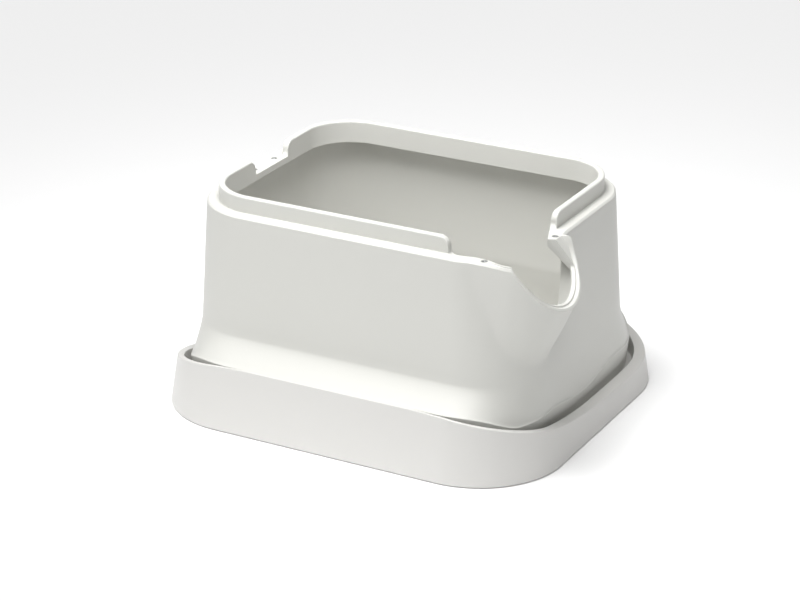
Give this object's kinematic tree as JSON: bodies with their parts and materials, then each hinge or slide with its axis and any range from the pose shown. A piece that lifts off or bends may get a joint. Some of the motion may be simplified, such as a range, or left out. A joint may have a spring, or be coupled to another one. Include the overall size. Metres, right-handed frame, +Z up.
{
  "type": "cat litter box with hood",
  "caption": "Oblong litter tray with a flared skirt and a tall lift-off hood that has a rounded corner entrance and a raised collar round its open top.",
  "frame": {"origin": "middle of the tray's footprint, on the surface that the foot pads stand on", "axes": "+X along the longer side, the entrance at its +X end; +Y from the front to the back; +Z up"},
  "size_m": [0.5627, 0.485, 0.2998],
  "materials": {
    "tray_plastic": "semi-gloss moulded polypropylene, warm white",
    "hood_plastic": "semi-gloss moulded polypropylene, warm white",
    "insert_steel": "plain zinc-plated disc",
    "foot_rubber": "matt soft rubber"
  },
  "bodies": {
    "tray": {"base_tray": "tray_plastic", "foot_pad_front_left": "foot_rubber", "foot_pad_front_right": "foot_rubber", "foot_pad_back_left": "foot_rubber", "foot_pad_back_right": "foot_rubber"},
    "hood": {"hood_shell": "hood_plastic", "lid_insert_entrance_front": "insert_steel", "lid_insert_entrance_side": "insert_steel", "lid_insert_notch_front": "insert_steel", "lid_insert_notch_back": "insert_steel"}
  },
  "joints": [
    {"name": "hood_lift", "type": "slide", "parent": "tray", "child": "hood", "axis": [0, 0, 1], "range_m": [0, 0.09]}
  ]
}
